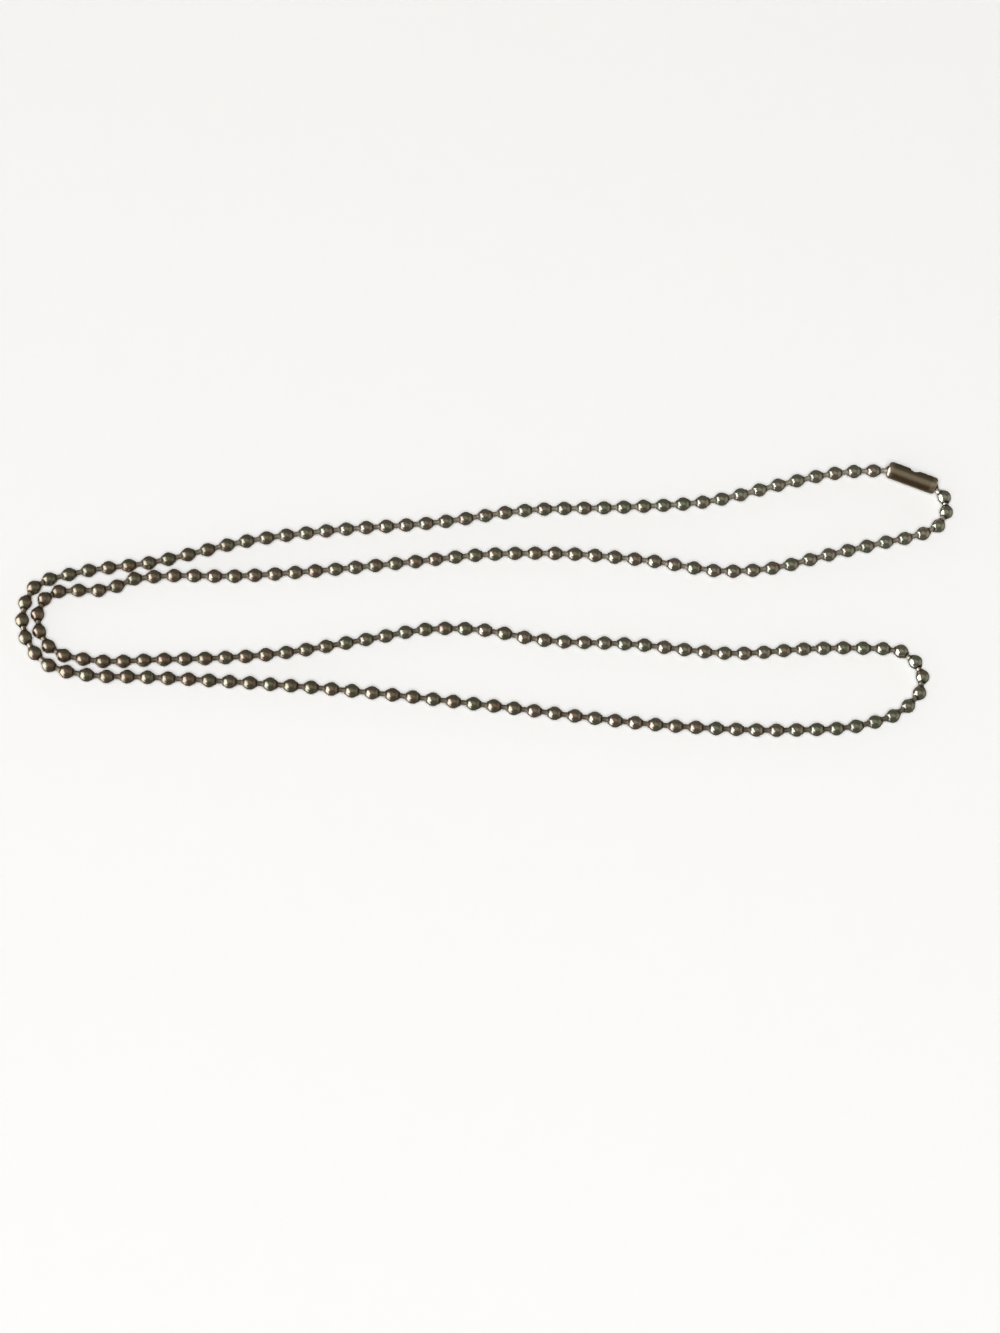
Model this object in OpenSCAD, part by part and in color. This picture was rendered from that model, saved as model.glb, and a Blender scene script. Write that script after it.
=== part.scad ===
// Ball chain necklace: hollow drilled balls strung on short pins, closed by a sprung
// sheet-metal sleeve that holds the two end balls. It lies flat, folded into a C whose
// two nested loops of chain turn back at the left. Millimetres, +Z up, resting on z = 0.

/* [Balls] */
// Outside diameter of a ball
ball_d = 2.4; // [2:0.1:3]
// Thickness of a ball's rolled shell
ball_wall = 0.25; // [0.15:0.05:0.3]

/* [Links] */
// Gap between neighbouring balls where the chain runs straight
link_gap = 1.1; // [0.9:0.1:1.6]
// Diameter of the pin that joins two balls
pin_d = 0.9; // [0.5:0.05:1]
// Clearance all round a pin in the hole of a ball
pin_play = 0.1; // [0.1:0.05:0.2]
// Share of its gap that a link gives up for each radian that it turns
bend_give = 0.6; // [0:0.1:0.7]

/* [Connector] */
// Overall length of the sleeve
sleeve_l = 9.2; // [8:0.2:12]
// Thickness of the sleeve's sheet
sleeve_wall = 0.25; // [0.2:0.05:0.35]
// Radius that the sleeve's ends are rounded in to their mouths
shoulder_r = 0.7; // [0.5:0.1:0.8]
// Clearance all round an end ball in the sleeve
ball_play = 0.1; // [0.1:0.05:0.2]
// How much smaller than the ball a mouth is, on the radius
mouth_catch = 0.15; // [0.1:0.05:0.2]
// How much smaller than the ball the entry hole is, on the radius
entry_catch = 0.15; // [0.1:0.05:0.3]
// Height angle of the slot and entry hole above the table, towards the back
slot_rise = 20; // [0:5:60]

/* [Hidden] */
$fn = 48;

// Middle and heading of the sleeve, seen from above
sleeve_at = [74.9, 22.4];
sleeve_heading = -21;

// Points that the laid chain passes, seen from above, from the sleeve's right mouth
// round to its left mouth
chain_route = [
    [80.8, 18.3], [80.9, 16.9], [79.2, 13.4], [75.6, 11.6], [70.7, 10.4], [59.2, 7.5],
    [50, 5], [42, 4.2], [27.4, 6], [13, 7], [-0.4, 6.6], [-14.8, 4.8], [-30.2, 3],
    [-43.8, 1.8], [-57.6, 1.5], [-61.8, 0.9], [-65.4, -0.9], [-72.3, -1.4], [-75.8, -2],
    [-77.8, -5.4], [-77.5, -9], [-75, -12.5], [-69.4, -14], [-57, -13.8], [-37.6, -12.5],
    [-20.2, -9.3], [-11, -7.5], [-0.8, -7.5], [7.7, -9], [25.2, -9.7], [42.8, -11.1],
    [56, -10], [65.7, -9.8], [72.1, -10.5], [75, -13.9], [74.7, -17.4], [71.3, -21.2],
    [64, -24], [53, -25], [33.2, -24.7], [-1.4, -21.2], [-25.1, -18.9], [-60.8, -17],
    [-69, -16.8], [-76, -15], [-80, -9.7], [-80.4, -5.4], [-78.2, -0.5], [-72.9, 1.5],
    [-57.8, 4.2], [-41.4, 8.5], [-28.4, 10.5], [-8.7, 12.5], [6.4, 15], [24.8, 16],
    [39.2, 17.4], [52.5, 21], [60.8, 23], [67.9, 23.7],
];
// Steps that the curve takes between two route points
curve_steps = 10;
// Sides of a pin's cross-section
pin_sides = 8;

ball_r = ball_d / 2;
pitch = ball_d + link_gap;
hole_d = pin_d + 2 * pin_play;

sleeve_r = ball_r + ball_play + sleeve_wall;
mouth_r = ball_r - mouth_catch;
entry_d = ball_d - 2 * entry_catch;
sleeve_way = [cos(sleeve_heading), sin(sleeve_heading)];

// Middle of the rounding at an end of the sleeve: out from its axis, and along it
shoulder = [sleeve_r - shoulder_r, sleeve_l / 2 - shoulder_r];
// Each end ball sits as far along the sleeve as its mouth's inner edge lets it
mouth_in = shoulder.y + sqrt((shoulder_r - sleeve_wall) ^ 2 - max(mouth_r - shoulder.x, 0) ^ 2);
ball_seat = mouth_in - sqrt((ball_r + ball_play) ^ 2 - mouth_r ^ 2);

function last(list) = list[len(list) - 1];

// Sums of the list so far, starting from 0
function running(list) = [
    for (i = 0, sum = 0; i <= len(list); sum = sum + (i < len(list) ? list[i] : 0), i = i + 1) sum
];

function gaps(points) = [for (i = [1 : len(points) - 1]) points[i] - points[i - 1]];

// Angle from one direction to the next, left turns positive
function bend(a, b) = atan2(a.x * b.y - a.y * b.x, a * b);

// The curve's direction and speed at stop i: its two chords' directions, weighted so
// that the shorter chord counts more
function way_at(stops, i) = let (
    last_i = len(stops) - 1,
    a = stops[i] - stops[max(i - 1, 0)],
    b = stops[min(i + 1, last_i)] - stops[i]
) i == 0 ? b / norm(b)
    : i == last_i ? a / norm(a)
    : (a * norm(b) / norm(a) + b * norm(a) / norm(b)) / (norm(a) + norm(b));

// A point of the smooth curve, a share t of the way from stop i to the next
function on_curve(stops, i, t) = let (
    h = norm(stops[i + 1] - stops[i]),
    from = way_at(stops, i) * h,
    to = way_at(stops, i + 1) * h
) stops[i] * (2 * t ^ 3 - 3 * t ^ 2 + 1) + from * (t ^ 3 - 2 * t ^ 2 + t)
    + stops[i + 1] * (3 * t ^ 2 - 2 * t ^ 3) + to * (t ^ 3 - t ^ 2);

// The laid line, from the ball in the sleeve's right end to the one in its left end
stops = concat(
    [sleeve_at + ball_seat * sleeve_way], chain_route, [sleeve_at - ball_seat * sleeve_way]
);
line = concat(
    [for (i = [0 : len(stops) - 2], k = [0 : curve_steps - 1]) on_curve(stops, i, k / curve_steps)],
    [last(stops)]
);
steps = gaps(line);
arc = running([for (s = steps) norm(s)]);
turned = running([for (i = [1 : len(steps) - 1]) bend(steps[i - 1], steps[i])]);
heading = [for (i = [0 : len(steps) - 1]) [(arc[i] + arc[i + 1]) / 2, turned[i]]];

// Distance between ball centres at a place along the line: a link that turns slides
// its pin further into the balls
function pitch_at(a) = let (
    turn = abs(lookup(a + pitch / 2, heading) - lookup(a - pitch / 2, heading))
) ball_d + link_gap * (1 - bend_give * min(turn * PI / 180, 1));

// Balls counted along the line, and a whole number of links spread evenly by that count
counted = running([for (i = [0 : len(steps) - 1]) norm(steps[i]) / pitch_at(heading[i][0])]);
links = round(last(counted));
count_x = [for (i = [0 : len(line) - 1]) [counted[i], line[i].x]];
count_y = [for (i = [0 : len(line) - 1]) [counted[i], line[i].y]];
laid = [
    for (k = [0 : links]) let (c = k * last(counted) / links) [lookup(c, count_x), lookup(c, count_y)]
];

// The middle of the whole outline goes to the origin. Seen from above, the sleeve reaches
// as far as the circles of its four rounded corners do.
function reach(axis, side) = side * max(
    max([for (p = laid) side * p[axis]]) + ball_r,
    side * sleeve_at[axis] + shoulder.y * abs(sleeve_way[axis])
        + shoulder.x * abs(sleeve_way[1 - axis]) + shoulder_r
);
middle = [for (axis = [0, 1]) (reach(axis, 1) + reach(axis, -1)) / 2];

// Ball centres: the two end balls ride at the sleeve's axis and the rest lie on the table
centres = [
    for (k = [0 : links]) let (p = laid[k] - middle)
        [p.x, p.y, k == 0 || k == links ? sleeve_r : ball_r]
];
sleeve_centre = (centres[0] + centres[links]) / 2;

// Turns a shape's own Z to the direction v
module facing(v) rotate([0, acos(v.z / norm(v)), atan2(v.y, v.x)]) children();

// One hollow ball, with a hole towards each neighbour
module ball(centre, before, after) {
    translate(centre) difference() {
        facing(after - before) difference() {
            sphere(d = ball_d);
            sphere(d = ball_d - 2 * ball_wall);
        }
        for (next = [before, after]) facing(next - centre) cylinder(d = hole_d, h = ball_d);
    }
}

module balls() {
    color("dimgray") for (k = [0 : links]) ball(
        centres[k],
        k == 0 ? sleeve_centre : centres[k - 1],
        k == links ? sleeve_centre : centres[k + 1]
    );
}

// Ring of the pins' line inside ball k, mitred between the pins on its two sides
function pin_ring(k) = let (
    a = centres[k] - centres[max(k - 1, 0)],
    b = centres[min(k + 1, links)] - centres[k],
    from = k == 0 ? b / norm(b) : a / norm(a),
    to = k == links ? from : b / norm(b),
    along = (from + to) / norm(from + to),
    across = cross([0, 0, 1], along) / norm(cross([0, 0, 1], along)),
    up = cross(along, across)
) [
    for (s = [0 : pin_sides - 1]) let (turn = 360 * s / pin_sides)
        centres[k] + pin_d / 2 * (cos(turn) * across / (from * along) + sin(turn) * up)
];

// The pins as one line through all the balls
module link_pins() {
    rings = [for (k = [0 : links]) each pin_ring(k)];
    walls = [
        for (k = [0 : links - 1], s = [0 : pin_sides - 1]) let (
            a = k * pin_sides + s,
            b = k * pin_sides + (s + 1) % pin_sides
        ) [a, a + pin_sides, b + pin_sides, b]
    ];
    start = [for (s = [0 : pin_sides - 1]) s];
    end = [for (s = [0 : pin_sides - 1]) (links + 1) * pin_sides - 1 - s];
    color("saddlebrown") polyhedron(rings, concat(walls, [start, end]), convexity = 10);
}

// Outline of the sleeve right of its axis, a depth in from its outside
module sleeve_half(depth) {
    corner_r = shoulder_r - depth;
    for (side = [-1, 1]) translate([shoulder.x, side * shoulder.y]) circle(corner_r);
    translate([0, -shoulder.y]) square([shoulder.x + corner_r, 2 * shoulder.y]);
    translate([0, -shoulder.y - corner_r]) square([shoulder.x, 2 * (shoulder.y + corner_r)]);
}

// The sleeve: rolled sheet closed in round the end balls, with a slot that the pins
// slide along and a hole in the middle where a ball snaps in
module connector() {
    clear = sleeve_r + 1;
    color("gray") translate(sleeve_centre) rotate([0, 0, sleeve_heading]) difference() {
        rotate([0, 90, 0]) rotate_extrude() difference() {
            sleeve_half(0);
            sleeve_half(sleeve_wall);
            translate([-sleeve_l, -sleeve_l]) square([sleeve_l + mouth_r, 2 * sleeve_l]);
        }
        rotate([slot_rise, 0, 0]) {
            translate([-sleeve_l, 0, -hole_d / 2]) cube([2 * sleeve_l, clear, hole_d]);
            rotate([-90, 0, 0]) cylinder(d = entry_d, h = clear);
        }
    }
}

balls();
link_pins();
connector();
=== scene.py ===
from math import acos, cos, pi, radians, sin, tan

import bpy
import numpy as np
from mathutils import Matrix, Vector


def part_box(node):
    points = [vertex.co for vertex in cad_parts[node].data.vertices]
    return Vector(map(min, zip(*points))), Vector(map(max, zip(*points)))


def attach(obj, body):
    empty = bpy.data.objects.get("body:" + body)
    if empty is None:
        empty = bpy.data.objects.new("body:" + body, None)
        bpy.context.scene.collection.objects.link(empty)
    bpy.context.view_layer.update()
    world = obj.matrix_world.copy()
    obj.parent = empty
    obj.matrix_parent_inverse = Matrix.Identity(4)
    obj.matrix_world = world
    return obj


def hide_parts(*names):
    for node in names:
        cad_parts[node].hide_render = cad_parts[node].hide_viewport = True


# A ball chain necklace lying folded on a pale table: hollow balls on short headed pins, closed by a
# sheet-metal sleeve. Lengths are metres, angles are radians, and +Z is up from the table.
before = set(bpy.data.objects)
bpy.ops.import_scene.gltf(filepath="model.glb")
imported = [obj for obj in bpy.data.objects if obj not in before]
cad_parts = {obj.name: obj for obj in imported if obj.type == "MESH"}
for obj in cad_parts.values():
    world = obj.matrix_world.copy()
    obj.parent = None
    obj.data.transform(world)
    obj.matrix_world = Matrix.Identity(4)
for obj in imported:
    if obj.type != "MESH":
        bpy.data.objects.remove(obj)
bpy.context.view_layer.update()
mm = 0.001


# The view
# A long lens looks down at the table from high in front, turned a little to the right and tipped, so
# that the rows of chain climb towards the right as they do in the photograph.
view_target = Vector((1.468, -13.629, 1.2)) * mm
view_height = radians(69.0)
view_turn = radians(12.62)
view_tip = radians(12.65)
view_distance = 809.9 * mm
lens_mm = 127.0
sensor_mm = 36.0
far_clip = 20.0

view_back = Vector((
    -sin(view_turn) * cos(view_height),
    -cos(view_turn) * cos(view_height),
    sin(view_height),
))
level_right = Vector((cos(view_turn), -sin(view_turn), 0.0))
level_up = view_back.cross(level_right)
view_right = cos(view_tip) * level_right + sin(view_tip) * level_up
view_up = view_back.cross(view_right)

lens = bpy.data.cameras.new("view")
lens.lens = lens_mm
lens.sensor_width = sensor_mm
lens.clip_end = far_clip
camera = bpy.data.objects.new("view", lens)
camera.matrix_world = (
    Matrix.Translation(view_target + view_distance * view_back)
    @ Matrix((view_right, view_up, view_back)).transposed().to_4x4()
)
bpy.context.collection.objects.link(camera)
bpy.context.scene.camera = camera
bpy.context.scene.view_settings.view_transform = "Standard"


# The table
# A plain pale board that curves up into a wall far away on all sides, so that every view has the same
# quiet ground. Polished metal doesn't mirror it: in the photograph the table was dark.
flat_radius = 2.2
cove_radius = 0.6
wall_height = 1.6
table_sides = 64
cove_rings = 8
table_colour = (0.9, 0.9, 0.895, 1.0)
table_roughness = 0.9
table_specular = 0.1


def new_piece(name, points, faces):
    """Makes a smooth-shaded mesh object at the origin from an array of points and a list of faces."""
    mesh = bpy.data.meshes.new(name)
    mesh.from_pydata(np.asarray(points).reshape(-1, 3).tolist(), [], faces)
    mesh.update()
    mesh.shade_smooth()
    piece = bpy.data.objects.new(name, mesh)
    bpy.context.collection.objects.link(piece)
    return piece


def ring_quads(numbers):
    """Quads between the rings of a grid of point numbers, (..., rings, sides), each ring closed."""
    ahead = np.roll(numbers, -1, axis=-1)
    corners = [numbers[..., :-1, :], ahead[..., :-1, :], ahead[..., 1:, :], numbers[..., 1:, :]]
    return np.stack(corners, axis=-1).reshape(-1, 4)


cove = np.linspace(0, pi / 2, cove_rings)
wall_reach = flat_radius + cove_radius
table_reach = np.concatenate([[flat_radius / 2], flat_radius + cove_radius * np.sin(cove), [wall_reach]])
table_rise = np.concatenate([[0], cove_radius * (1 - np.cos(cove)), [wall_height]])
table_turn = np.arange(table_sides) * 2 * pi / table_sides
table_points = np.stack(
    [
        table_reach[:, None] * np.cos(table_turn),
        table_reach[:, None] * np.sin(table_turn),
        np.repeat(table_rise[:, None], table_sides, axis=1),
    ],
    axis=-1,
)
table_numbers = np.arange(table_points.size // 3).reshape(table_points.shape[:2])
table_faces = ring_quads(table_numbers)[:, ::-1].tolist() + [table_numbers[0].tolist()]
table = new_piece("table", table_points, table_faces)
table.visible_glossy = False
table.visible_shadow = False
table_paint = bpy.data.materials.new("table_paint")
table_paint.use_nodes = True
table_shader = table_paint.node_tree.nodes["Principled BSDF"]
table_shader.inputs["Base Color"].default_value = table_colour
table_shader.inputs["Roughness"].default_value = table_roughness
table_shader.inputs["Specular IOR Level"].default_value = table_specular
table.data.materials.append(table_paint)


# The light
# Soft studio panels: a window on the left and its glare off the table put the bright mark on each ball, and
# a ceiling and a right-hand wall give its paler middle. The metal alone mirrors these. A key panel on the
# camera's side lights the table alone, so the soft shadows fall behind the chain.
room_dark = (0.150, 0.137, 0.112)
window_white = (1.0, 0.985, 0.96)
wall_glow = (1.0, 0.90, 0.72)
table_white = (0.985, 0.99, 1.0)
# Name, compass turn, height angle, distance, half width, half height, radiance, colour, mirrored.
# The angles and half sizes are in degrees as the necklace sees them.
panels = [
    ("window", -169, 16, 3.0, 33, 26, 3.3, window_white, True),
    ("window_glare", -160, -24, 3.0, 32, 18, 2.4, window_white, True),
    ("ceiling", -120, 78, 1.6, 28, 25, 0.25, wall_glow, True),
    ("right_wall", -8, 4, 1.5, 30, 30, 0.25, wall_glow, True),
    ("right_ceiling", -30, 54, 1.5, 18, 16, 0.16, wall_glow, True),
    ("key", -102, 70, 2.0, 16, 16, 9.6, table_white, False),
]


def add_panel(name, turn, rise, distance, turn_reach, rise_reach, radiance, colour, mirrored):
    """Adds a rectangular light that faces the necklace, and is mirrored by the metal or lights the table.

    Its half sizes are distance * tan(reach), and its power is pi * area * radiance.
    """
    wide, tall = (2 * distance * tan(radians(reach)) for reach in (turn_reach, rise_reach))
    light = bpy.data.lights.new(name, "AREA")
    light.shape = "RECTANGLE"
    light.size = wide
    light.size_y = tall
    light.energy = pi * wide * tall * radiance
    light.color = colour
    panel = bpy.data.objects.new(name, light)
    turn, rise = radians(turn), radians(rise)
    towards = Vector((cos(turn) * cos(rise), sin(turn) * cos(rise), sin(rise)))
    panel.location = distance * towards
    panel.rotation_euler = towards.to_track_quat("Z", "Y").to_euler()
    panel.visible_camera = False
    panel.visible_glossy = mirrored
    panel.visible_diffuse = not mirrored
    bpy.context.collection.objects.link(panel)


for panel_row in panels:
    add_panel(*panel_row)

room = bpy.data.worlds.new("room")
room.use_nodes = True
room.node_tree.nodes["Background"].inputs["Color"].default_value = (*room_dark, 1.0)
bpy.context.scene.world = room


# The laid line
# Nobody strings this chain straight: it was dropped on the table in a folded C. These are the places that
# it passes, from the sleeve's right mouth round to its left one, and the balls follow a pitch apart.
ball_d = 2.4 * mm
link_gap = 1.1 * mm
# Share of its gap that a link gives up for each radian that it turns
bend_give = 0.6
pin_d = 0.9 * mm
pin_play = 0.1 * mm
sleeve_l = 9.2 * mm
sleeve_wall = 0.25 * mm
ball_play = 0.1 * mm
shoulder_r = 0.7 * mm
mouth_catch = 0.15 * mm
sleeve_at = np.array([74.9, 22.4]) * mm
sleeve_heading = radians(-21)
curve_steps = 10
chain_route = np.array([
    [80.8, 18.3], [80.9, 16.9], [79.2, 13.4], [75.6, 11.6], [70.7, 10.4], [59.2, 7.5],
    [50, 5], [42, 4.2], [27.4, 6], [13, 7], [-0.4, 6.6], [-14.8, 4.8], [-30.2, 3],
    [-43.8, 1.8], [-57.6, 1.5], [-61.8, 0.9], [-65.4, -0.9], [-72.3, -1.4], [-75.8, -2],
    [-77.8, -5.4], [-77.5, -9], [-75, -12.5], [-69.4, -14], [-57, -13.8], [-37.6, -12.5],
    [-20.2, -9.3], [-11, -7.5], [-0.8, -7.5], [7.7, -9], [25.2, -9.7], [42.8, -11.1],
    [56, -10], [65.7, -9.8], [72.1, -10.5], [75, -13.9], [74.7, -17.4], [71.3, -21.2],
    [64, -24], [53, -25], [33.2, -24.7], [-1.4, -21.2], [-25.1, -18.9], [-60.8, -17],
    [-69, -16.8], [-76, -15], [-80, -9.7], [-80.4, -5.4], [-78.2, -0.5], [-72.9, 1.5],
    [-57.8, 4.2], [-41.4, 8.5], [-28.4, 10.5], [-8.7, 12.5], [6.4, 15], [24.8, 16],
    [39.2, 17.4], [52.5, 21], [60.8, 23], [67.9, 23.7],
]) * mm

ball_r = ball_d / 2
pitch = ball_d + link_gap
hole_r = pin_d / 2 + pin_play
sleeve_r = ball_r + ball_play + sleeve_wall
mouth_r = ball_r - mouth_catch
# The middle of the rounding at an end of the sleeve: out from its axis, and along it
corner_reach = sleeve_r - shoulder_r
corner_along = sleeve_l / 2 - shoulder_r
# Each end ball sits as far along the sleeve as the mouth's inner edge lets it
mouth_in = corner_along + np.sqrt((shoulder_r - sleeve_wall) ** 2 - max(mouth_r - corner_reach, 0) ** 2)
ball_seat = mouth_in - np.sqrt((ball_r + ball_play) ** 2 - mouth_r ** 2)
sleeve_way = np.array([cos(sleeve_heading), sin(sleeve_heading)])


def unit(vectors):
    """Each vector of the last axis at length 1."""
    return vectors / np.linalg.norm(vectors, axis=-1, keepdims=True)


def smooth_line(stops, steps):
    """Points of a Hermite curve through the stops, evenly spaced in each stretch.

    A stretch of chord h is a(2t^3-3t^2+1) + h u(t^3-2t^2+t) + b(3t^2-2t^3) + h v(t^3-t^2), where u and v are
    the ways at its ends: the two chords' directions there, weighted so that the shorter counts more.
    """
    chords = np.diff(stops, axis=0)
    lengths = np.linalg.norm(chords, axis=1, keepdims=True)
    ways = chords / lengths
    inner = (ways[:-1] * lengths[1:] + ways[1:] * lengths[:-1]) / (lengths[:-1] + lengths[1:])
    ways = np.concatenate([ways[:1], inner, ways[-1:]])
    t = (np.arange(steps) / steps)[None, :, None]
    a, b, h = stops[:-1, None], stops[1:, None], lengths[:, None]
    curve = (
        a * (2 * t**3 - 3 * t**2 + 1)
        + h * ways[:-1, None] * (t**3 - 2 * t**2 + t)
        + b * (3 * t**2 - 2 * t**3)
        + h * ways[1:, None] * (t**3 - t**2)
    )
    return np.concatenate([curve.reshape(-1, 2), stops[-1:]])


def lay_balls(line):
    """Ball centres along a line, a pitch apart, the pitch less where the line turns.

    Each link counts as 1, so the count up to a place is the sum of step / pitch. Links are rounded to a
    whole number and shared out evenly by that count.
    """
    steps = np.diff(line, axis=0)
    lengths = np.linalg.norm(steps, axis=1)
    arc = np.concatenate([[0], np.cumsum(lengths)])
    halfway = (arc[1:] + arc[:-1]) / 2
    a, b = steps[:-1], steps[1:]
    bends = np.arctan2(a[:, 0] * b[:, 1] - a[:, 1] * b[:, 0], (a * b).sum(axis=1))
    turned = np.concatenate([[0], np.cumsum(bends)])
    turned_ahead = np.interp(halfway + pitch / 2, halfway, turned)
    turned_behind = np.interp(halfway - pitch / 2, halfway, turned)
    turn = np.abs(turned_ahead - turned_behind)
    spacing = ball_d + link_gap * (1 - bend_give * np.minimum(turn, 1))
    counted = np.concatenate([[0], np.cumsum(lengths / spacing)])
    links = round(counted[-1])
    places = np.arange(links + 1) * counted[-1] / links
    return np.stack([np.interp(places, counted, line[:, axis]) for axis in (0, 1)], axis=1)


seats = [sleeve_at + ball_seat * sleeve_way, sleeve_at - ball_seat * sleeve_way]
laid = lay_balls(smooth_line(np.concatenate([seats[:1], chain_route, seats[1:]]), curve_steps))
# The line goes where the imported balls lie. The end balls ride at the sleeve's axis, the rest on the table.
frame_low, frame_high = (np.array(corner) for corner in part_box("balls"))
laid += (frame_low + frame_high)[:2] / 2 - (laid.min(axis=0) + laid.max(axis=0)) / 2
centres = np.column_stack([laid, np.full(len(laid), ball_r)])
centres[[0, -1], 2] = sleeve_r
sleeve_centre = (centres[0] + centres[-1]) / 2


# The balls
# Each is a strip of nickel-plated steel rolled up into a hollow ball, with a hole at each end of the roll
# that faces the next ball. Handling has dulled the plate, painted shade darkens it towards the left and the
# front, and grime stays in round the holes.
ball_wall = 0.25 * mm
# Angle from the axis where the lips start, and where they end: along the axis, and out from it
lip_start = radians(45)
lip_end = np.array([1.26, 0.58]) * mm
ball_sides = 12
outer_steps = 6
least_bend = 1e-4
ball_seed = 11
# Bright and dull plate colours; the dull ones also serve as painted shade towards the left and the front
bright_and_lit_olive = (0.525, 0.590, 0.500)
bright_and_lit_brown = (0.625, 0.530, 0.500)
dull_and_shaded_olive = (0.295, 0.315, 0.238)
dull_and_shaded_brown = (0.367, 0.288, 0.230)
ball_grime = (0.150, 0.120, 0.085)
# Shade goes from olive at 0 to brown at 1, and dullness from bright to dull. Both fall towards the right
# and drift from ball to ball: over a run of balls, with a share that is each ball's own. Dullness also falls
# towards the back, and its falls to the right and back are painted shade: darker balls to the left and
# front.
shade_middle, shade_fall_right = 0.30, 0.20
shade_drift, shade_run, shade_own = 0.4, 6, 1.3
# The falls of dullness to the right and to the back are painted shade, darkening the left and front balls
dull_middle, ball_painted_shade_fall_right, ball_painted_shade_fall_back = 0.43, 0.43, 0.15
dull_drift, dull_run, dull_own = 0.3, 3, 1.0
drift_gain = 0.7
# Sizes of the patches of shade, the dull blotches and the pits, and how much the first two change the tone
patch_size, patch_change = 1.8 * mm, 3.2
blotch_size, blotch_change = 0.9 * mm, 0.3
pit_size = 0.09 * mm
# Grime: how sharply it falls off from a hole, its least share there, and how much of the colour it covers
grime_fall, grime_least, grime_cover = 6, 0.35, 0.7
# The strip's seam: where it starts, as a share of the half turn towards it, and how steep its edge is
seam_start, seam_slope = 0.975, 60
# Roughness of the bright plate, and what dullness, blotches and grime add
plate_rough, dull_rough, blotch_rough, grime_rough = 0.11, 0.14, 0.08, 0.25
# A step of relief, the heights of the pits and the blotches in such steps, and the depth of the seam
relief_step = 0.01 * mm
pit_relief, blotch_relief, seam_relief = 0.25, 0.5, 0.8


def ball_shell_rings():
    """One ball's outline as rings about its axis, from the front lip round the outside and back inside.

    The outside is round up to the lips, which run straight in to the holes' edges, and the inside is two
    cones that meet at the middle, a wall's thickness in. Returns each ring's distance along the axis, its
    distance out, and how far it leans with the hole that it is nearest to (-1 to 1).
    """
    outer = np.linspace(lip_start, pi - lip_start, outer_steps - 1)
    along = np.concatenate([lip_end[:1], ball_r * np.cos(outer), -lip_end[:1], [0]])
    out = np.concatenate([lip_end[1:], ball_r * np.sin(outer), lip_end[1:], [ball_r - ball_wall]])
    lean = np.concatenate([[1], np.cos(outer), [-1, 0]])
    return along, out, lean


def turned_about(points, axes, angles):
    """Points turned about unit axes: p cos a + (k x p) sin a + k (k . p)(1 - cos a)."""
    dots = (points * axes).sum(axis=-1, keepdims=True)
    c, s = np.cos(angles)[..., None], np.sin(angles)[..., None]
    return points * c + np.cross(axes, points) * s + axes * dots * (1 - c)


def ball_shells():
    """All the balls' points, (balls, rings, sides, 3).

    A ball is revolved about the mean way of its two pins, and each ring is then turned towards the hole that
    it is nearest to by its lean times half the bend, so both holes face their neighbours and stay round.
    """
    neighbours = np.concatenate([[sleeve_centre], centres, [sleeve_centre]])
    ahead = unit(neighbours[2:] - centres)
    behind = unit(neighbours[:-2] - centres)
    axis = unit(ahead - behind)
    side = unit(np.cross(axis, [0, 0, 1]))
    top = np.cross(side, axis)
    hinge = np.cross(axis, ahead)
    bend = np.arcsin(np.clip(np.linalg.norm(hinge, axis=1), 0, 1))
    hinge = np.where(bend[:, None] > least_bend, hinge, side)
    along, out, lean = ball_shell_rings()
    rolls = np.random.default_rng(ball_seed).uniform(0, 2 * pi, len(centres))
    turn = rolls[:, None] + np.arange(ball_sides) * 2 * pi / ball_sides
    spokes = np.cos(turn)[..., None] * side[:, None] + np.sin(turn)[..., None] * top[:, None]
    points = along[None, :, None, None] * axis[:, None, None] + out[None, :, None, None] * spokes[:, None]
    angles = lean[None, :, None] * bend[:, None, None] * np.ones(ball_sides)
    return centres[:, None, None] + turned_about(points, unit(hinge)[:, None, None], angles)


def drifting(count, run, own, seed):
    """Numbers from 0 to 1 for the balls in turn, that drift along the chain.

    White noise is averaged with a bell-shaped weight exp(-(k / run)^2) and brought to a deviation of 1, and
    an own share of fresh noise is added. The sum v gives (1 + tanh(gain v)) / 2.
    """
    noise = np.random.default_rng(seed).normal(size=(2, count))
    weight = np.exp(-((np.arange(-2 * run, 2 * run + 1) / run) ** 2))
    slow = np.convolve(noise[0], weight, mode="same")
    return (1 + np.tanh(drift_gain * (slow / slow.std() + own * noise[1]))) / 2


def add_point_values(piece, name, values):
    """Gives each point of a piece's mesh a number that its material can read."""
    attribute = piece.data.attributes.new(name, "FLOAT", "POINT")
    attribute.data.foreach_set("value", np.ascontiguousarray(values, dtype=np.float32).ravel())


def add_uv(piece, corners):
    """Gives a piece a UV map from an array of u and v for each face's corners, in the faces' order."""
    layer = piece.data.uv_layers.new(name="along")
    layer.data.foreach_set("uv", np.ascontiguousarray(corners, dtype=np.float32).ravel())


def ring_uv(copies, rings, sides):
    """UV of ring_quads' faces: u is the share of the way round, v the share of the way along the rings."""
    u = np.arange(sides) / sides
    v = (np.arange(rings - 1) / (rings - 1))[:, None]
    du, dv = 1 / sides, 1 / (rings - 1)
    corners = [(u + a * du + 0 * v, v + b * dv + 0 * u) for a, b in ((0, 0), (1, 0), (1, 1), (0, 1))]
    grid = np.stack([np.stack(pair, axis=-1) for pair in corners], axis=2)
    return np.broadcast_to(grid, (copies, *grid.shape))


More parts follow.
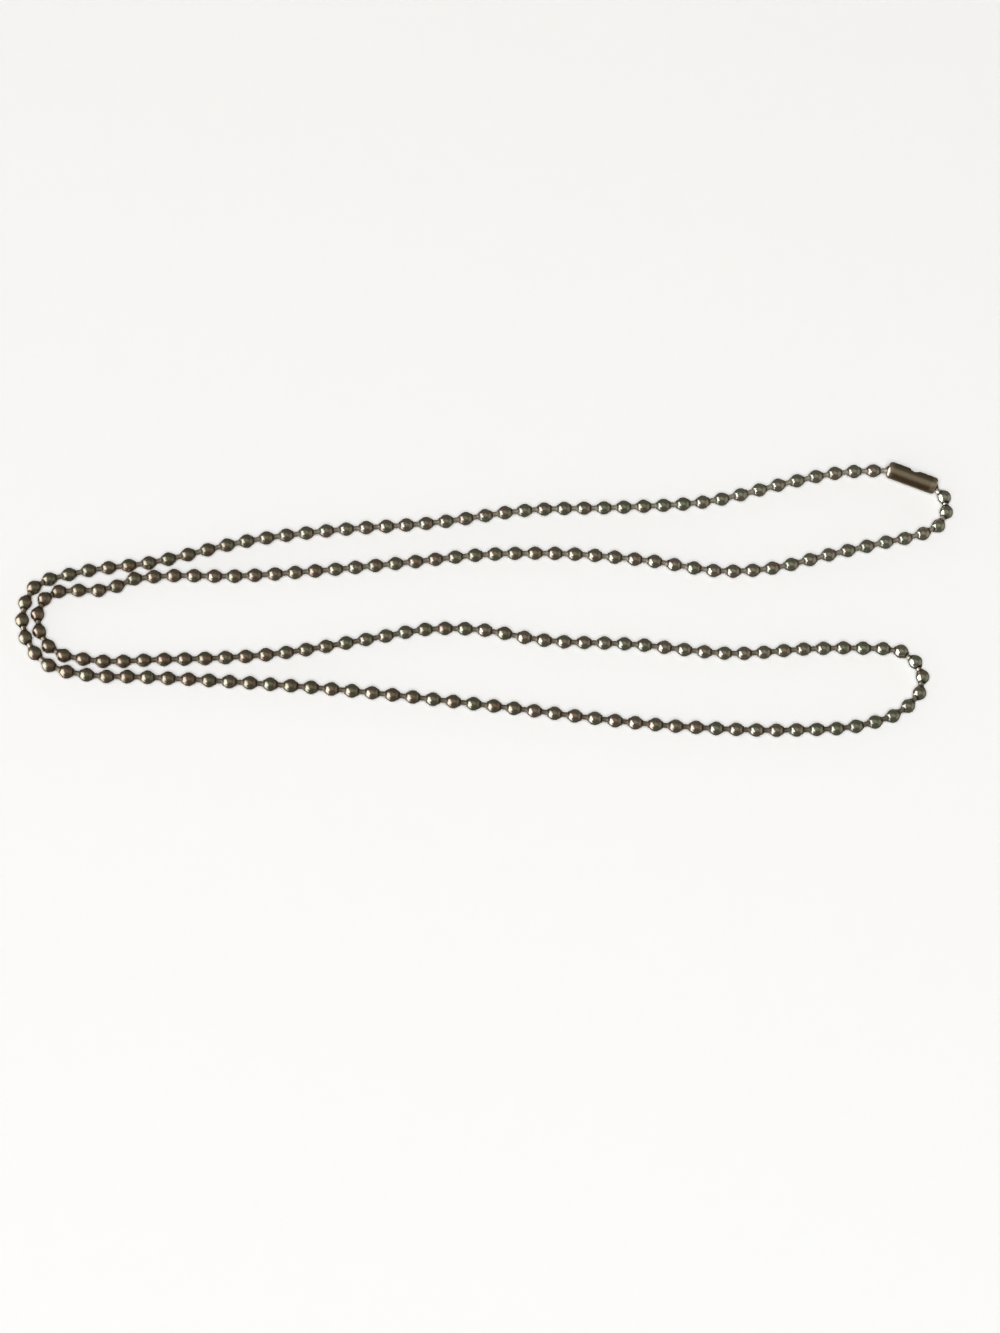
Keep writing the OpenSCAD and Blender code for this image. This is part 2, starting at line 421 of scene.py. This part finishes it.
class Socket:
    """An output of a material's nodes. Sums written on it add Math nodes, and make() adds any other node."""

    def __init__(self, tree, output=None):
        self.tree = tree
        self.output = output

    def make(self, kind, settings, inputs, out=0):
        """Adds a node with its settings. Each input is linked to a Socket or set to a value."""
        node = self.tree.nodes.new("ShaderNode" + kind)
        for name, value in settings.items():
            setattr(node, name, value)
        for name, value in inputs.items():
            if isinstance(value, Socket):
                self.tree.links.new(value.output, node.inputs[name])
            else:
                node.inputs[name].default_value = value
        return Socket(self.tree, node.outputs[out])

    def math(self, operation, first, second=0.0):
        """Adds a Math node that works on one or two numbers or Sockets."""
        return self.make("Math", {"operation": operation}, {0: first, 1: second})

    def __add__(self, other):
        return self.math("ADD", self, other)

    def __radd__(self, other):
        return self.math("ADD", other, self)

    def __sub__(self, other):
        return self.math("SUBTRACT", self, other)

    def __rsub__(self, other):
        return self.math("SUBTRACT", other, self)

    def __mul__(self, other):
        return self.math("MULTIPLY", self, other)

    def __abs__(self):
        return self.math("ABSOLUTE", self)

    def clamped(self):
        """This number kept between 0 and 1."""
        return self.make("Clamp", {}, {"Value": self})

    def mixed(self, first, second):
        """The colour that goes from the first to the second as this number goes from 0 to 1."""
        settings = {"data_type": "RGBA", "clamp_factor": True}
        return self.make("Mix", settings, {"Factor": self, 6: first, 7: second}, out=2)

    def part(self, axis):
        """The X, Y or Z of this vector."""
        return self.make("SeparateXYZ", {}, {"Vector": self}, out=axis)


def rgba(colour):
    """The colour with nothing see-through."""
    return (*colour, 1.0)


def new_metal(name, finish):
    """Makes a material of solid metal.

    finish(start) returns its colour, its roughness and the height of its surface in relief steps, and may
    work them out from any node that start makes.
    """
    metal = bpy.data.materials.new(name)
    metal.use_nodes = True
    tree = metal.node_tree
    shader = tree.nodes["Principled BSDF"]
    shader.inputs["Metallic"].default_value = 1.0
    start = Socket(tree)
    colour, roughness, height = finish(start)
    relief = start.make("Bump", {}, {"Strength": 1.0, "Distance": relief_step, "Height": height})
    tree.links.new(colour.output, shader.inputs["Base Color"])
    tree.links.new(roughness.output, shader.inputs["Roughness"])
    tree.links.new(relief.output, shader.inputs["Normal"])
    return metal


def place_on(start, space):
    """The place on the piece, in its Object or UV coordinates."""
    return start.make("TexCoord", {}, {}, out=space)


def point_value(start, name):
    """The number that add_point_values gave each point."""
    return start.make("Attribute", {"attribute_name": name}, {}, out="Fac")


def grain(start, place, size, detail=2.0):
    """Noise from 0 to 1, 0.5 on the average, whose patches are about a size across."""
    return start.make("TexNoise", {}, {"Vector": place, "Scale": 1 / size, "Detail": detail})


def ball_finish(start):
    """Dulled nickel: tone by ball and in blotches, painted shade towards the left and the front, grime round
    the holes, fine pits and the strip's seam.
    """
    place = place_on(start, "Object")
    around = place_on(start, "UV").part("X")
    shade = point_value(start, "shade")
    dullness_and_painted_shade = point_value(start, "dullness_and_painted_shade")
    near_hole = point_value(start, "near_hole")
    blotch = grain(start, place, blotch_size, detail=3.0)
    patch = grain(start, place, patch_size, detail=1.0)
    pits = grain(start, place, pit_size)
    grime = (near_hole * (grime_least + blotch)).clamped()
    seam = ((abs(around - 0.5) * 2 - seam_start) * seam_slope).clamped()
    tone = (shade + (patch - 0.5) * patch_change).clamped()
    bright_and_lit = tone.mixed(rgba(bright_and_lit_olive), rgba(bright_and_lit_brown))
    dull_and_shaded = tone.mixed(rgba(dull_and_shaded_olive), rgba(dull_and_shaded_brown))
    plate_and_painted_shade = (dullness_and_painted_shade + (blotch - 0.5) * blotch_change).mixed(bright_and_lit, dull_and_shaded)
    colour = (grime * grime_cover).mixed(plate_and_painted_shade, rgba(ball_grime))
    roughness = plate_rough + dullness_and_painted_shade * dull_rough + blotch * blotch_rough + grime * grime_rough
    height = pits * pit_relief + blotch * blotch_relief - seam * seam_relief
    return colour, roughness, height


ball_points = ball_shells()
ball_count, ball_rings = ball_points.shape[:2]
ball_numbers = np.arange(ball_points.size // 3).reshape(ball_points.shape[:3])
ball_numbers = np.concatenate([ball_numbers, ball_numbers[:, :1]], axis=1)
balls = new_piece("ball_shells", ball_points, ring_quads(ball_numbers).tolist())
outside_face = np.zeros((ball_count, ball_rings, ball_sides), dtype=bool)
outside_face[:, :outer_steps] = True
balls.data.polygons.foreach_set("use_smooth", outside_face.ravel())
add_uv(balls, ring_uv(ball_count, ball_rings + 1, ball_sides))

# Shares of the way from the middle of the necklace to its right and back edges
to_right, to_back = (centres[:, :2] / centres[:, :2].max(axis=0)).T
ball_shade = shade_middle - shade_fall_right * to_right
ball_shade += shade_drift * drifting(ball_count, shade_run, shade_own, ball_seed + 1)
# Painted shade: dullness rises towards the left and the front, which darkens those balls
ball_dullness_and_painted_shade = dull_middle - ball_painted_shade_fall_right * to_right - ball_painted_shade_fall_back * to_back
ball_dullness_and_painted_shade += dull_drift * drifting(ball_count, dull_run, dull_own, ball_seed + 2)
ring_nearness = np.abs(ball_shell_rings()[2]) ** grime_fall
every_point = np.ones(ball_points.shape[:3])
add_point_values(balls, "shade", ball_shade[:, None, None] * every_point)
add_point_values(balls, "dullness_and_painted_shade", ball_dullness_and_painted_shade[:, None, None] * every_point)
add_point_values(balls, "near_hole", ring_nearness[:, None] * every_point)
balls.data.materials.append(new_metal("ball_nickel", ball_finish))
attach(balls, "root")
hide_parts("balls")


# The link pins
# Short steel pins join each ball to the next. A pin's two heads are upset inside the balls, wider than
# the holes, and its neck is thinner than they are, which is the play that lets the chain bend.
pin_sides = 8
# A head's rings: distance from the ball's centre, and distance out from the pin's axis
head_profile = np.array([[0.42, 0.45], [0.53, 0.62], [0.67, 0.45]]) * mm
# Clean and worn colours; the mix between them also carries painted shade, darker at the front and left
pin_clean_and_lit = (0.900, 0.860, 0.790)
pin_worn_and_shaded = (0.400, 0.350, 0.290)
pin_dark = (0.200, 0.165, 0.130)
# Tone at the middle of the necklace, how much its painted shade falls to the back and to the right, and over
# what distance
pin_tone_middle, pin_painted_shade_fall_back, pin_painted_shade_fall_right = 0.65, 1.8, 0.25
fall_distance = 80 * mm
# Sizes of the fine marks and the dark blotches, how much they change, and their heights in relief steps
mark_size, mark_change, mark_relief = 0.08 * mm, 0.4, 0.5
stain_size, stain_change, stain_relief = 0.6 * mm, 1.4, 0.5
pin_rough, stain_rough = 0.42, 0.15


def pin_rings(span):
    """A pin's rings between two ball centres a span apart: distance along, and distance out, for each pin.

    The head's profile stands inside the first ball, and mirrored inside the second.
    """
    first = np.tile(head_profile[:, 0], (len(span), 1))
    second = span[:, None] - head_profile[::-1, 0]
    out = np.concatenate([head_profile[:, 1], head_profile[::-1, 1]])
    return np.concatenate([first, second], axis=1), out


spans = np.diff(centres, axis=0)
pin_way = unit(spans)
pin_side = unit(np.cross(pin_way, [0, 0, 1]))
pin_top = np.cross(pin_side, pin_way)
pin_along, pin_out = pin_rings(np.linalg.norm(spans, axis=1))
pin_turn = np.arange(pin_sides) * 2 * pi / pin_sides
pin_spokes = np.cos(pin_turn)[:, None] * pin_side[:, None] + np.sin(pin_turn)[:, None] * pin_top[:, None]
pin_points = (
    centres[:-1, None, None]
    + pin_along[:, :, None, None] * pin_way[:, None, None]
    + pin_out[None, :, None, None] * pin_spokes[:, None]
)
pin_numbers = np.arange(pin_points.size // 3).reshape(pin_points.shape[:3])
pin_faces = ring_quads(pin_numbers)[:, ::-1].tolist()
pin_ends = pin_numbers[:, 0].tolist() + pin_numbers[:, -1, ::-1].tolist()
pins = new_piece("headed_pins", pin_points, pin_faces + pin_ends)
neck_face = np.zeros((len(spans), 2 * len(head_profile) - 1, pin_sides), dtype=bool)
neck_face[:, len(head_profile) - 1] = True
end_face = np.zeros(len(pin_ends), dtype=bool)
pins.data.polygons.foreach_set("use_smooth", np.concatenate([neck_face.ravel(), end_face]))


def pin_finish(start):
    """Thin plate over steel, worn brown, with fine marks and darker blotches.

    Painted shade makes the pins darker towards the front and the left.
    """
    place = place_on(start, "Object")
    stain = grain(start, place, stain_size, detail=3.0)
    marks = grain(start, place, mark_size)
    tone_and_painted_shade = point_value(start, "tone_and_painted_shade")
    plate_and_painted_shade = (tone_and_painted_shade + (marks - 0.5) * mark_change).mixed(rgba(pin_clean_and_lit), rgba(pin_worn_and_shaded))
    colour = ((stain - 0.5) * stain_change).mixed(plate_and_painted_shade, rgba(pin_dark))
    return colour, pin_rough + stain * stain_rough, marks * mark_relief + stain * stain_relief


# Painted shade: the pins are darker towards the front and the left
pin_place = (centres[:-1] + centres[1:]) / 2 / fall_distance
pin_tone_and_painted_shade = pin_tone_middle - pin_painted_shade_fall_back * pin_place[:, 1] - pin_painted_shade_fall_right * pin_place[:, 0]
add_point_values(pins, "tone_and_painted_shade", pin_tone_and_painted_shade[:, None, None] * np.ones(pin_points.shape[:3]))
pins.data.materials.append(new_metal("pin_steel", pin_finish))
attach(pins, "root")
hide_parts("link_pins")


# The connector
# A sleeve rolled from sheet steel and plated, its ends pressed in round the two end balls. The seam is left
# open as a slot for the pins, and widens in the middle to the hole where a ball snaps in.
slot_rise = radians(20)
entry_catch = 0.15 * mm
keyhole_blend = 6
rim_steps = 4
shoulder_steps = 7
body_steps = 44
round_steps = 40
sleeve_nickel = (0.430, 0.375, 0.290)
sleeve_brown = (0.370, 0.305, 0.220)
# The pale end colour is rubbed metal and a painted highlight; the brown and olive are painted reflections
sleeve_rubbed_and_highlight = (0.720, 0.640, 0.540)
painted_reflection_brown = (0.150, 0.092, 0.042)
painted_reflection_olive = (0.200, 0.185, 0.130)
# Two bands of painted dark reflection that run along the sleeve: each one's middle, half width and soft
# edge, in millimetres round the outside from the slot, how far they wander, and how much of the colour each
# covers
painted_reflection_low_band, painted_reflection_low_cover = (3.60, 0.50, 0.4), 0.9
painted_reflection_slot_band, painted_reflection_slot_cover = (1.05, 0.80, 1.4), 0.75
band_wander = 0.5
# The ends, pale as rubbed metal and as a painted highlight: millimetres from the sleeve's middle, how far
# that wanders, its slope, and its cover
rubbed_and_highlight_from, rubbed_and_highlight_wander, rubbed_and_highlight_slope, rubbed_and_highlight_cover = 3.3, 0.8, 1.3, 0.6
# Draw lines, as cells of noise in a millimetre along and round the sleeve, and their change of tone
draw_cells, draw_change = (0.6, 14.0, 1.0), 0.8
# Brown blotches: their size, the noise that they start at, and their change of tone
tarnish_size, tarnish_start, tarnish_change = 1.6 * mm, 0.42, 1.6
dint_size = 0.7 * mm
sleeve_rough, tarnish_rough, draw_rough = 0.20, 0.12, 0.08
draw_relief, dint_relief = 0.5, 1.2


def spread(length, radius, between):
    """Places across a strip of a length, closer at its rounded edges, and the sheet's half thickness there.

    Near an edge the strip ends in a half circle: at angle a the place is r(1 - cos a) in. The half thickness
    is sin a there, and 1 between the edges, as a share of the sheet's.
    """
    a = np.linspace(0, pi / 2, rim_steps + 1)
    rim = radius * (1 - np.cos(a))
    middle = np.linspace(radius, length - radius, between + 1)[1:-1]
    places = np.concatenate([rim, middle, length - rim[::-1]])
    fullness = np.concatenate([np.sin(a), np.ones(len(middle)), np.sin(a[::-1])])
    return places, fullness


def sleeve_sheet():
    """The sheet's middle surface as a grid of points, its outward normals, its half thickness, and its UV.

    A line along the sleeve runs from mouth to mouth: a straight run, and at each end an arc of the
    shoulder's radius that turns in. It is carried round the axis from one lip of the slot to the other. The
    slot's half width w and the entry hole's h = sqrt(r^2 - x^2) join as (w^6 + h^6)^(1/6).
    """
    half = sleeve_wall / 2
    arc_r = shoulder_r - half
    mouth_turn = acos(min((mouth_r - corner_reach) / arc_r, 1))
    reach = corner_along + arc_r * mouth_turn
    places, along_fullness = spread(2 * reach, half, body_steps + 2 * shoulder_steps)
    s = places - reach
    turn = np.clip(np.abs(s) - corner_along, 0, None) / arc_r
    x = np.sign(s) * (np.minimum(np.abs(s), corner_along) + arc_r * np.sin(turn))
    out = corner_reach + arc_r * np.cos(turn)
    entry = np.sqrt(np.clip((ball_r - entry_catch) ** 2 - x ** 2, 0, None))
    gap = (hole_r ** keyhole_blend + entry ** keyhole_blend) ** (1 / keyhole_blend)
    lip = np.arcsin(gap / out)
    strip = 2 * (pi - lip) * out
    across = np.stack([spread(width, half, round_steps)[0] for width in strip])
    across_fullness = spread(strip[0], half, round_steps)[1]
    angle = lip[:, None] + across / out[:, None]
    slot_way = np.array([0, cos(slot_rise), sin(slot_rise)])
    side_way = np.array([0, -sin(slot_rise), cos(slot_rise)])
    spoke = np.cos(angle)[..., None] * slot_way + np.sin(angle)[..., None] * side_way
    points = x[:, None, None] * np.array([1, 0, 0]) + out[:, None, None] * spoke
    lean_x = (np.sign(s) * np.sin(turn))[:, None, None]
    normals = lean_x * np.array([1, 0, 0]) + np.cos(turn)[:, None, None] * spoke
    half_thickness = half * along_fullness[:, None] * across_fullness
    uv = np.stack([np.broadcast_to(s[:, None], angle.shape), angle * sleeve_r], axis=-1) / mm
    return points, normals, half_thickness, uv


def closed_sheet(points, normals, half_thickness):
    """Points and quads of a closed sheet about a grid of middle points. Its sides share the border points.

    At two corners the quads start one point on, so that no half of one lies on the border alone.
    """
    rows, columns = half_thickness.shape
    outer = np.arange(rows * columns).reshape(rows, columns)
    inside = np.zeros_like(outer, dtype=bool)
    inside[1:-1, 1:-1] = True
    inner = outer.copy()
    inner[inside] = rows * columns + np.arange(inside.sum())
    offset = normals * half_thickness[..., None]
    all_points = np.concatenate([(points + offset).reshape(-1, 3), (points - offset)[inside]])
    outer_quads = [outer[:-1, :-1], outer[:-1, 1:], outer[1:, 1:], outer[1:, :-1]]
    inner_quads = [inner[:-1, :-1], inner[1:, :-1], inner[1:, 1:], inner[:-1, 1:]]
    quads = np.stack([np.stack(outer_quads, axis=-1), np.stack(inner_quads, axis=-1)])
    for row, column in ((0, -1), (-1, 0)):
        quads[:, row, column] = np.roll(quads[:, row, column], 1, axis=-1)
    return all_points, quads.reshape(-1, 4), inside


sheet_points, sheet_normals, sheet_half, sheet_uv = sleeve_sheet()
sleeve_points, sleeve_faces, sheet_inside = closed_sheet(sheet_points, sheet_normals, sheet_half)
along_sleeve = np.array([*sleeve_way, 0])
across_sleeve = np.array([-sleeve_way[1], sleeve_way[0], 0])
sleeve_points = sleeve_centre + sleeve_points @ np.array([along_sleeve, across_sleeve, [0, 0, 1]])
sleeve = new_piece("sleeve", sleeve_points, sleeve_faces.tolist())
sleeve_uv = np.concatenate([sheet_uv.reshape(-1, 2), sheet_uv[sheet_inside]])
add_uv(sleeve, sleeve_uv[sleeve_faces])


def sleeve_band(place, middle, reach, edge):
    """1 within a reach of a middle, fading to 0 over an edge, all in millimetres round the outside."""
    return ((reach - abs(place - middle)) * (1 / edge) + 0.5).clamped()


def sleeve_finish(start):
    """Dulled nickel with draw lines along the sleeve and small dints, blotched brown.

    A brown band low on the near side and an olive one beside the slot are painted dark reflections, and
    both ends are pale: rubbed, and painted with a highlight.
    """
    place = place_on(start, "Object")
    uv = place_on(start, "UV")
    drawn = start.make("VectorMath", {"operation": "MULTIPLY"}, {0: uv, 1: draw_cells})
    lines = grain(start, drawn, 1.0, detail=3.0)
    tarnish = grain(start, place, tarnish_size, detail=4.0)
    dints = grain(start, place, dint_size, detail=1.0)
    round_it = uv.part("Y") + (tarnish - 0.5) * band_wander
    from_middle = abs(uv.part("X"))
    # Pale ends, rubbed and painted with a highlight
    rubbed_and_highlight = ((from_middle - rubbed_and_highlight_from + (tarnish - 0.5) * rubbed_and_highlight_wander) * rubbed_and_highlight_slope).clamped()
    # Painted dark reflections: a brown band low on the near side and an olive one beside the slot
    low_reflection = sleeve_band(round_it, *painted_reflection_low_band)
    slot_reflection = sleeve_band(round_it, *painted_reflection_slot_band)
    tone = (tarnish - tarnish_start) * tarnish_change + (lines - 0.5) * draw_change
    face = tone.mixed(rgba(sleeve_nickel), rgba(sleeve_brown))
    face = (low_reflection * painted_reflection_low_cover).mixed(face, rgba(painted_reflection_brown))
    face = (slot_reflection * painted_reflection_slot_cover).mixed(face, rgba(painted_reflection_olive))
    colour = (rubbed_and_highlight * rubbed_and_highlight_cover).mixed(face, rgba(sleeve_rubbed_and_highlight))
    roughness = sleeve_rough + tarnish * tarnish_rough + lines * draw_rough
    return colour, roughness, lines * draw_relief + dints * dint_relief


sleeve.data.materials.append(new_metal("sleeve_nickel", sleeve_finish))
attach(sleeve, "root")
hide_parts("connector")
